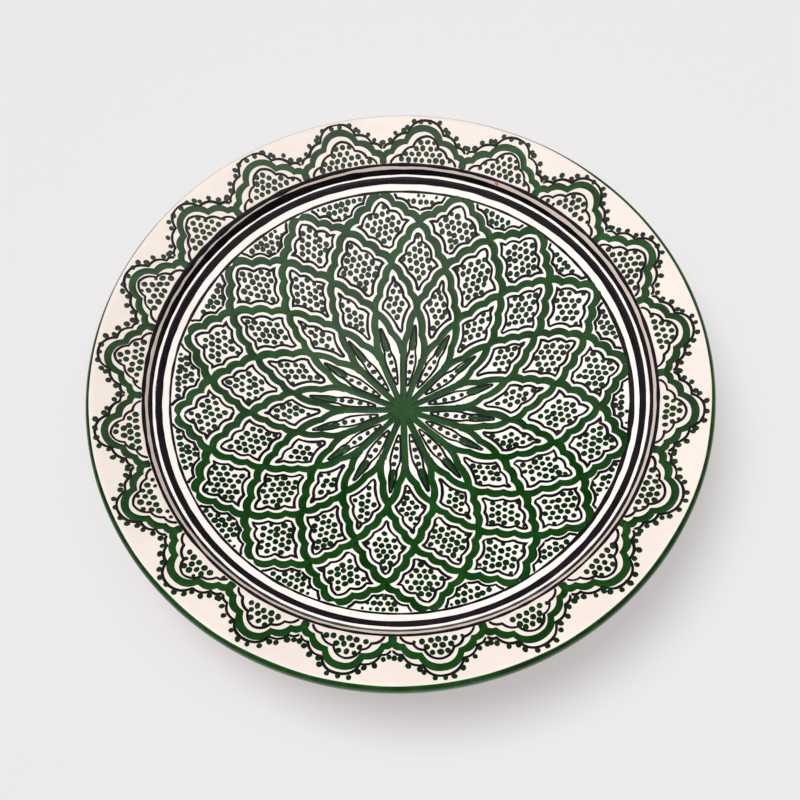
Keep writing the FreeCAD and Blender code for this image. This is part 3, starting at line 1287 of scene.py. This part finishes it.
@dataclass
class Rosette:
    """The sixteen-fold rosette in the well: a hub, arms, crossing lobed bands and dotted cells."""

    face: Face
    hand: Hand
    spokes: int = 16
    phase: float = 12.6
    rows: tuple[float, ...] = (41.9 * MM, 70.9 * MM, 100.4 * MM, 126.3 * MM, 147.2 * MM)
    swirl: tuple[float, ...] = (-3.6, -1.8, 0.1, 1.2, 1.4)
    centre: tuple[float, float] = (1.5 * MM, 0.4 * MM)
    hub: float = 11.0 * MM
    arm: float = 4.4 * MM
    fork_gap: float = 0.9 * MM      # how far a band is beside the arm where it leaves it
    bands: tuple[float, ...] = (4.4 * MM, 5.0 * MM, 5.1 * MM, 5.2 * MM, 5.2 * MM)
    lobe_depth: tuple[float, ...] = (0.08, 0.14, 0.18, 0.21)
    notches: tuple[tuple[float, ...], ...] = ((0, 0.5, 1), (0, 0.36, 0.68, 1), (0, 0.35, 0.67, 1),
                                              (0, 0.33, 0.64, 1))
    outline: float = 1.9 * MM
    white: float = 1.75 * MM        # the white left between a band and an outline
    border: float = 147.9 * MM
    dot: float = 1.98 * MM
    pitch: float = 4.6 * MM
    slack: float = 0.9 * MM         # how far a crossing misses its true place
    needle: tuple[tuple[float, float], ...] = (     # share of its length, half width in mm
        (0, 0.3), (0.12, 1.7), (0.27, 2.8), (0.40, 3.4), (0.48, 3.2), (0.57, 2.2), (0.62, 2.1),
        (0.70, 2.4), (0.78, 2.0), (0.86, 1.4), (0.93, 0.9), (1, 0.3))
    needle_foot: float = 17.5 * MM  # how far from the middle a needle starts
    needle_short: float = 8.5 * MM  # how far it stops short of the crossing over it
    needle_dots: tuple[tuple[float, float], ...] = (    # share of its length, radius in mm
        (0.13, 1.25), (0.26, 1.75), (0.39, 1.75), (0.51, 1.75))
    needle_tip: tuple[float, float] = (0.58, 0.93)      # where its green tip starts and ends
    needle_tip_width: float = 3.2 * MM
    border_hug: float = 0.84        # how close a border cell keeps to its bands, beside other cells
    border_fill: tuple[float, float] = (0.92, 0.84)     # pitch and row of its dots, beside the pitch
    ripples: float = 0.07           # how much the hub's edge swells toward the arms
    nodes: dict[tuple[int, int], np.ndarray] = field(default_factory=dict)
    curves: dict[tuple[int, int, int], tuple[np.ndarray, np.ndarray]] = field(default_factory=dict)

    def __post_init__(self) -> None:
        """Place every crossing of the bands."""
        for row in range(len(self.rows)):
            for place in range(2 * self.spokes):
                if (place + row) % 2 == 1:
                    slack = self.slack * (0.5 if row == len(self.rows) - 1 else 1.0)
                    angle = math.radians(self.phase + 180.0 / self.spokes * place + self.swirl[row])
                    point = np.array(self.centre) + polar(self.rows[row], angle)
                    self.nodes[row, place] = point + self.hand.shift(slack)

    def at(self, row: int, place: int) -> np.ndarray:
        """The crossing in a row, counted round in half steps."""
        return self.nodes[row, place % (2 * self.spokes)]

    def toward_hub(self, point: np.ndarray, radius: float) -> np.ndarray:
        """A point on the arm from the hub to a crossing."""
        return np.array(self.centre) + unit(point - np.array(self.centre)) * radius

    def build(self) -> None:
        """Paint the green, then the black outlines, then the dots."""
        self._bands()
        outlines = [Brushwork(name, self.face, self.hand, 1.05) for name in
                    ("needle_outlines", "inner_cell_outlines", "middle_cell_outlines",
                     "outer_cell_outlines", "border_cell_outlines")]
        dots = Brushwork("rosette_dots", self.face, self.hand, 1.0)
        tips = Brushwork("needle_tips", self.face, self.hand, 1.0)
        for spoke in range(self.spokes):
            self._needle(2 * spoke, outlines[0], dots, tips)
            for row in (0, 1, 2):
                place = 2 * spoke + (row + 1) % 2
                self._cell(row, place, outlines[row + 1], dots)
            self._border_cell(2 * spoke, outlines[4], dots)
        for brush in outlines:
            brush.piece(Finish.BLACK, "black_enamel")
        dots.piece(Finish.DOTS, "green_enamel")
        tips.piece(Finish.GREEN, "green_enamel")

    def _bands(self) -> None:
        """The hub, the arms and the two mirrored sets of lobed bands."""
        arms = Brushwork("rosette_hub", self.face, self.hand)
        bands = {way: Brushwork(name, self.face, self.hand) for way, name in
                 ((1, "rosette_bands_left"), (-1, "rosette_bands_right"))}
        corners = 96
        ripple = [self.hub * (1 + self.ripples * math.cos(self.spokes * 2 * math.pi * k / corners))
                  for k in range(corners)]
        arms.blot(np.array(self.centre), ripple)
        for spoke in range(self.spokes):
            place = 2 * spoke + 1
            fork = self.at(0, place)
            knots = [self.toward_hub(fork, 0.6 * self.hub), self.toward_hub(fork, 0.55 * self.rows[0]), fork]
            line, _ = smooth_line(knots, 16)
            arms.stroke(line, self.arm, pressure=0.08)
            for way in (1, -1):
                self._band(bands[way], place, way)
        arms.piece(Finish.GREEN, "green_enamel")
        bands[1].piece(Finish.GREEN, "green_enamel", ["rosette_bands"])
        bands[-1].piece(Finish.GREEN, "green_enamel")

    def _band(self, brush: Brushwork, place: int, way: int) -> None:
        """One curved band from its fork on an arm out to the border, lobed on its outer side.

        Args:
            brush: what paints it.
            place: the place of its fork.
            way: the side that it turns to, 1 for the left and -1 for the right.
        """
        fork = self.at(0, place)
        apart = left_of(unit(fork - np.array(self.centre))) * way * self.fork_gap
        knots = [self.toward_hub(fork, self.rows[0] - 8.0 * MM), fork + apart]
        knots += [self.at(row, place + way * row) for row in range(1, len(self.rows))]
        base, along = smooth_line(knots, 40)
        forward = units(np.gradient(base, axis=0))
        out = np.stack([-forward[:, 1], forward[:, 0]], axis=1) * -way
        spans = np.linalg.norm(np.diff(np.array(knots), axis=0), axis=1)
        lift = np.zeros(len(base))
        for span, depth in enumerate(self.lobe_depth, start=1):
            inside = (along >= span) & (along <= span + 1)
            breaks = self._loosened(self.notches[span - 1])
            lift[inside] = lobes(along[inside] - span, breaks) * depth * spans[span]
        total = float(spans.sum())
        lift += self.hand.wander(len(base), total, 0.22 * MM)
        widths = np.interp(along, np.arange(len(self.bands)) + 1, self.bands) / self.bands[-1]
        line = base + out * lift[:, None]
        for row in range(len(self.lobe_depth)):
            inside = (along >= row + 1) & (along <= row + 2)
            self.curves[way, (place + way * row) % (2 * self.spokes), row] = (line[inside], out[inside])
        brush.stroke(line, self.bands[-1], across=out * widths[:, None], pressure=0.07)

    def _loosened(self, breaks: Sequence[float]) -> list[float]:
        """Notches shifted a little from their even places."""
        inner = [b + self.hand.slip(0.02) for b in breaks[1:-1]]
        return [breaks[0], *inner, breaks[-1]]

    def _beside(self, way: int, row: int, place: int, toward: float) -> np.ndarray:
        """A line that keeps its distance from one span of a band.

        Args:
            way: which of the two mirrored sets the band is in.
            row: the row of the crossing where the span starts.
            place: the place of that crossing.
            toward: 1 for the side that the lobes stand out to, -1 for the other; less is closer.

        Returns:
            The line's points.
        """
        line, out = self.curves[way, place % (2 * self.spokes), row]
        gap = 0.5 * (self.bands[row] + self.bands[row + 1]) * 0.5 + self.white + 0.5 * self.outline
        length = float(np.linalg.norm(line[-1] - line[0]))
        sway = self.hand.wander(len(line), length, 0.22 * MM, 0.006)
        return line + out * (toward * gap + sway)[:, None]

    def _cell(self, row: int, place: int, brush: Brushwork, dots: Brushwork) -> None:
        """The black outline and dots of one diamond cell, whose lowest corner is in a row.

        Args:
            row: the row of its lowest corner.
            place: the place of that corner.
            brush: what paints the outline.
            dots: what paints the dots.
        """
        rising = {way: self._beside(way, row, place, 1) for way in (1, -1)}
        closing = {way: self._beside(-way, row + 1, place + way, -1) for way in (1, -1)}
        low = dict(zip((1, -1), crossing(rising[1], rising[-1])))
        top = dict(zip((1, -1), crossing(closing[1][::-1], closing[-1][::-1])))
        halves = {}
        for way in (1, -1):
            end, start = crossing(rising[way], closing[way])
            under = part_of(rising[way], low[way], end, 22)
            over = part_of(closing[way], start, len(closing[way]) - 1 - top[way], 22)
            halves[way] = np.vstack([under, over[1:]])
            tail = over[-1] + unit(over[-1] - over[-3]) * self.hand.pick(0.0, 0.9) * MM
            head = under[0] - unit(under[2] - under[0]) * self.hand.pick(0.0, 0.6) * MM
            stroke = np.vstack([head[None], halves[way], tail[None]])
            brush.stroke(stroke, self.outline, taper=(0.7, 0.7), pressure=0.16)
        level = halves[-1][21] - halves[1][21]
        tilt = math.atan2(level[1], level[0]) + self.hand.pick(-0.3, 0.3)
        outline = np.vstack([halves[1], halves[-1][::-1]])
        fill_dots(dots, outline, self.dot, self.pitch, 0.9 * self.pitch, tilt)

    def _border_cell(self, place: int, brush: Brushwork, dots: Brushwork) -> None:
        """One cell that the border line cuts across, under the border and over a crossing.

        Args:
            place: the place of the crossing under it.
            brush: what paints the outline.
            dots: what paints the dots.
        """
        sides = [self._beside(way, 3, place, self.border_hug) for way in (1, -1)]
        low = crossing(*sides)
        outline = []
        for side, start in zip(sides, low):
            radii = np.linalg.norm(side, axis=1)
            reached = np.argmax(radii > self.border) or len(side) - 1
            line = part_of(side, start, reached, 26)
            outline.append(line)
            brush.stroke(line, self.outline, taper=(0.8, 0.4), pressure=0.16)
        brow = bowed(outline[0][-1], outline[1][-1], self.border)
        around = np.vstack([outline[0], brow, outline[1][::-1]])
        tilt = math.atan2(*(brow[-1] - brow[0])[::-1]) + self.hand.pick(-0.12, 0.12)
        pitch, row = (share * self.pitch for share in self.border_fill)
        fill_dots(dots, around, self.dot, pitch, row, tilt, clear=0.3 * MM)

    def _needle(self, place: int, brush: Brushwork, dots: Brushwork, tips: Brushwork) -> None:
        """One long thin cell between two arms, with a bellied foot and a fine tip.

        Args:
            place: its place, between two arms.
            brush: what paints the outline.
            dots: what paints the dots.
            tips: what paints the green tip.
        """
        origin = np.array(self.centre)
        tip_node = self.at(1, place) - origin
        arms = 0.5 * (self.at(0, place - 1) + self.at(0, place + 1)) - origin
        axis = unit(0.5 * (unit(tip_node) + unit(arms)))
        lean = unit(tip_node)
        side = left_of(axis)
        tip = float(np.linalg.norm(tip_node)) - self.needle_short + self.hand.slip(0.8 * MM)
        foot = self.needle_foot + self.hand.slip(1.0 * MM)
        shares, halves = zip(*self.needle)
        for way in (1, -1):
            swell = 1 + self.hand.slip(0.07)
            line = []
            for share in np.linspace(0, 1, 60):
                half = float(np.interp(share, shares, halves)) * MM * swell
                direction = unit(axis * (1 - share) + lean * share)
                line.append(origin + direction * (foot + share * (tip - foot)) + side * way * half)
            brush.stroke(np.array(line), 0.85 * self.outline, taper=(0.8, 1.2), pressure=0.15)
        for share, size in self.needle_dots:
            spot = origin + axis * (foot + share * (tip - foot) + self.hand.slip(0.4 * MM))
            dots.dot(spot + side * self.hand.slip(0.25 * MM), size * MM)
        line = np.array([origin + unit(axis * (1 - share) + lean * share) * (foot + share * (tip - foot))
                         for share in np.linspace(*self.needle_tip, 14)])
        tips.stroke(line, self.needle_tip_width, taper=(0.6, 4.5))


# ---------------------------------------------------------------- the petals on the flange


@dataclass
class PetalBorder:
    """Twenty lobed petals on the flange, outlined in black and edged with dots."""

    face: Face
    hand: Hand
    petals: int = 20
    phase: float = -1.9
    drift: tuple[tuple[float, int], ...] = ((2.6, 1), (-1.0, 2))    # spacing by eye, in degrees
    drift_from: float = 10.0
    flange_line: float = 166.0 * MM
    outer_valley: float = 174.9 * MM
    outer_apex: float = 193.4 * MM
    band_valley: float = 169.3 * MM
    band_apex: float = 188.0 * MM
    inner_apex: float = 183.3 * MM
    stray: float = 2.0 * MM         # how much taller the petals are on one side
    stray_at: float = 122.0         # the angle of that side
    inner_half: float = 0.83        # half width at the flange line, in half petals
    band: float = 4.7 * MM
    outline: float = 1.8 * MM
    depth: float = 0.19
    notches: tuple[float, ...] = (0, 0.2, 0.56, 1)
    inner_notches: tuple[float, ...] = (0, 0.3, 0.62, 1)
    dot: float = 1.95 * MM
    pitch: float = 4.7 * MM
    row: float = 4.1 * MM
    edge_dot: float = 1.794 * MM
    edge_pitch: float = 5.4 * MM
    edge_gap: float = 2.3 * MM      # how far an edge dot is outside the outline
    edge_limit: float = 193.9 * MM  # how far out an edge dot may be, short of the lip's roll

    def angle(self, place: float) -> float:
        """The angle of a place round the flange, counted in petals from a valley.

        Args:
            place: the place, where each petal counts one.

        Returns:
            The angle in radians.
        """
        even = self.phase + 360.0 / self.petals * place
        turn = math.radians(even - self.drift_from)
        return math.radians(even + sum(size * math.sin(times * turn) for size, times in self.drift))

    def _arch(self, valley: float, apex: float, petal: int, half: float, breaks: Sequence[float],
              depth: float) -> tuple[np.ndarray, np.ndarray]:
        """The lobed arch of one petal.

        Args:
            valley: its radius where it starts and ends.
            apex: its radius at the top.
            petal: which petal.
            half: its half width, in half petals.
            breaks: the places of the notches from an end to the top.
            depth: how deep a lobe is, as a share of its length.

        Returns:
            The points from one end over the top to the other, and vectors across the line.
        """
        points, across = [], []
        crest = self.angle(petal + 0.5 + self.hand.slip(0.015))
        taller = self.stray * math.cos(crest - math.radians(self.stray_at))
        top = polar(apex + taller + self.hand.slip(0.6 * MM), crest)
        for way in (-1, 1):
            low = self.angle(petal + 0.5 + 0.5 * way * half)
            rise = (valley - self.flange_line) / (apex - self.flange_line)
            foot = polar(valley + rise * self.stray * math.cos(low - math.radians(self.stray_at)), low)
            length = float(np.linalg.norm(top - foot))
            along = np.linspace(0, 1, 48)
            loose = [breaks[0], *[b + self.hand.slip(0.018) for b in breaks[1:-1]], breaks[-1]]
            side = left_of(unit(top - foot)) * way
            lift = lobes(along, loose) * depth * length
            lift = lift + self.hand.wander(48, length, 0.2 * MM) * arch(along) ** 0.5
            line = foot + np.outer(along, top - foot) + np.outer(lift, side)
            up = unit(top)
            lean = np.clip((along - 0.75) / 0.25, 0, 1)[:, None]
            sides = units(side * (1 - lean) + up * lean)
            points.append(line if way < 0 else line[::-1][1:])
            across.append(sides if way < 0 else sides[::-1][1:])
        return np.vstack(points), np.vstack(across)

    def build(self) -> None:
        """Paint the green arches, the black outlines and the dots."""
        bands = Brushwork("petal_bands_green", self.face, self.hand)
        outer = Brushwork("petal_outlines", self.face, self.hand, 1.05)
        inner = Brushwork("petal_inner_outlines", self.face, self.hand, 1.05)
        fill = Brushwork("petal_dots", self.face, self.hand)
        edge = Brushwork("petal_edge_dots", self.face, self.hand)
        for petal in range(self.petals):
            line, across = self._arch(self.band_valley, self.band_apex, petal, 0.99, self.notches,
                                      self.depth)
            bands.stroke(line, self.band, across=across, taper=(0.2, 0.2), pressure=0.07)
            stem, _ = smooth_line([unit(line[0]) * r for r in (self.flange_line - 0.7 * MM,
                                   self.band_valley - 1.5 * MM, self.band_valley + 1.8 * MM)], 6)
            bands.stroke(stem, self.band * 1.08, taper=(0.1, 0.6), pressure=0.05)
            line, _ = self._arch(self.outer_valley, self.outer_apex, petal, 0.985, self.notches,
                                 self.depth)
            outer.stroke(line, self.outline, taper=(0.5, 0.5), pressure=0.16)
            self._edge_dots(edge, line)
            line, _ = self._arch(self.flange_line - 0.6 * MM, self.inner_apex, petal, self.inner_half,
                                 self.inner_notches, self.depth * 0.9)
            inner.stroke(line, self.outline * 0.95, taper=(0.5, 0.5), pressure=0.16)
            crown = line[len(line) // 2]
            field_edge = np.vstack([line, bowed(line[-1], line[0], self.flange_line - 0.2 * MM)])
            tilt = self.angle(petal + 0.5) + 0.5 * math.pi
            fill_dots(fill, field_edge, self.dot, self.pitch, self.row, tilt,
                      crown - unit(crown) * self.hand.pick(3.6, 4.6) * MM, 0.45 * MM)
        bands.piece(Finish.GREEN, "green_enamel", ["petal_bands"])
        outer.piece(Finish.BLACK, "black_enamel")
        inner.piece(Finish.BLACK, "black_enamel")
        fill.piece(Finish.DOTS, "green_enamel")
        edge.piece(Finish.DOTS, "green_enamel")

    def _edge_dots(self, brush: Brushwork, line: np.ndarray) -> None:
        """A row of dots along the outside of one petal's outline.

        Args:
            brush: what paints them.
            line: the outline's points.
        """
        along = lengths_along(line)
        count = int(along[-1] / self.edge_pitch)
        for k in range(count):
            where = along[-1] * (k + 0.5) / count + self.hand.slip(0.4 * MM)
            behind, spot, ahead = (np.array([np.interp(where + beside, along, line[:, axis])
                                             for axis in (0, 1)]) for beside in (-2 * MM, 0, 2 * MM))
            out = left_of(unit(ahead - behind))
            out = out if float(np.dot(out, spot)) > 0 else -out
            spot = spot + out * (self.edge_gap + self.hand.slip(0.25 * MM))
            spot = spot * min(1.0, self.edge_limit / float(np.linalg.norm(spot)))
            brush.dot(spot, self.edge_dot)


# ---------------------------------------------------------------- the studio


@dataclass
class Studio:
    """Pale floor, soft light and the camera."""

    aim: float = 67.0 * MM          # the height that the camera's place is given from
    elevation: float = 66.375
    roll: float = -3.767
    distance: float = 0.8791
    aside: float = -0.00025
    aloft: float = -0.01417
    lens: float = 62.18
    key: float = 1.85
    key_spread: float = 32.0        # in degrees
    key_from: tuple[float, float, float] = (-0.36, 0.17, 1.15)
    fill: float = 0.36              # the light from all round
    fill_mirrored: float = 0.06     # as much of it as the glaze mirrors

    def build(self) -> None:
        """Set up the floor, the lights, the world and the camera."""
        self._floor()
        self._lights()
        self._world()
        self._camera()
        bpy.context.scene.view_settings.view_transform = "Standard"

    def _floor(self) -> None:
        """A wide sheet of paper that the dish stands on."""
        bpy.ops.object.select_all(action="DESELECT")
        bpy.ops.mesh.primitive_plane_add(size=8.0, location=(0, 0, 0))
        floor = bpy.context.object
        floor.name = "studio_floor"
        floor.data.materials.append(StudioFloor().build())

    def _lights(self) -> None:
        """A soft key light from the upper left, and a softbox overhead that the glaze mirrors."""
        key = bpy.data.lights.new("key", "SUN")
        key.energy = self.key
        key.angle = math.radians(self.key_spread)
        key_object = bpy.data.objects.new("key", key)
        key_object.rotation_euler = Vector(self.key_from).to_track_quat("Z", "Y").to_euler()
        key_object.visible_glossy = False
        bpy.context.scene.collection.objects.link(key_object)
        self._softbox("softbox", Vector((0.10, -0.05, 1.75)), (1.3, 0.9), 0.75)
        self._softbox("ceiling", Vector((0.0, 0.0, 2.6)), (5.0, 3.4), 0.42)

    def _softbox(self, name: str, place: Vector, size: tuple[float, float], level: float) -> None:
        """A flat light that faces the dish.

        Args:
            name: its name.
            place: where it hangs.
            size: its width and depth.
            level: how bright it looks, where white paper is one.
        """
        box = bpy.data.lights.new(name, "AREA")
        box.shape = "RECTANGLE"
        box.size, box.size_y = size
        box.energy = level * math.pi * size[0] * size[1]
        hung = bpy.data.objects.new(name, box)
        hung.location = place
        hung.rotation_euler = (place - Vector((0, 0, self.aim))).to_track_quat("Z", "Y").to_euler()
        bpy.context.scene.collection.objects.link(hung)

    def _world(self) -> None:
        """Even light from all round, dimmer where the glaze would mirror it."""
        world = bpy.data.worlds.new("studio")
        bpy.context.scene.world = world
        world.use_nodes = True
        nodes, links = world.node_tree.nodes, world.node_tree.links
        background = nodes["Background"]
        background.inputs["Color"].default_value = (1.0, 0.995, 1.0, 1)
        path = nodes.new("ShaderNodeLightPath")
        level = nodes.new("ShaderNodeMapRange")
        level.inputs["To Min"].default_value = self.fill
        level.inputs["To Max"].default_value = self.fill_mirrored
        links.new(path.outputs["Is Glossy Ray"], level.inputs["Value"])
        links.new(level.outputs["Result"], background.inputs["Strength"])

    def _camera(self) -> None:
        """The camera, high over the near side of the dish."""
        rise, roll = math.radians(self.elevation), math.radians(self.roll)
        back = Vector((0, -math.cos(rise), math.sin(rise)))
        right = Vector((1, 0, 0))
        up = back.cross(right)
        place = Vector((0, 0, self.aim)) + back * self.distance + right * self.aside + up * self.aloft
        rolled_right = right * math.cos(roll) + up * math.sin(roll)
        rolled_up = up * math.cos(roll) - right * math.sin(roll)
        camera = bpy.data.objects.new("camera", bpy.data.cameras.new("camera"))
        axes = Matrix((rolled_right, rolled_up, back)).transposed().to_4x4()
        camera.matrix_world = Matrix.Translation(place) @ axes
        camera.data.lens = self.lens
        camera.data.sensor_width = 36.0
        bpy.context.scene.collection.objects.link(camera)
        bpy.context.scene.camera = camera


def main() -> None:
    """Build the dish layer by layer, then the studio round it."""
    logging.basicConfig(level=logging.INFO, format="%(name)s %(message)s")
    lip_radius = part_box("lip_band")[1].x
    face = Face(("face_glaze", "lip_band"), lip_radius)
    Turning(face, Hand(3)).build()
    Moulding(face, Hand(5)).build()
    Rosette(face, Hand(7)).build()
    PetalBorder(face, Hand(11)).build()
    Studio().build()


if __name__ == "__main__":
    main()
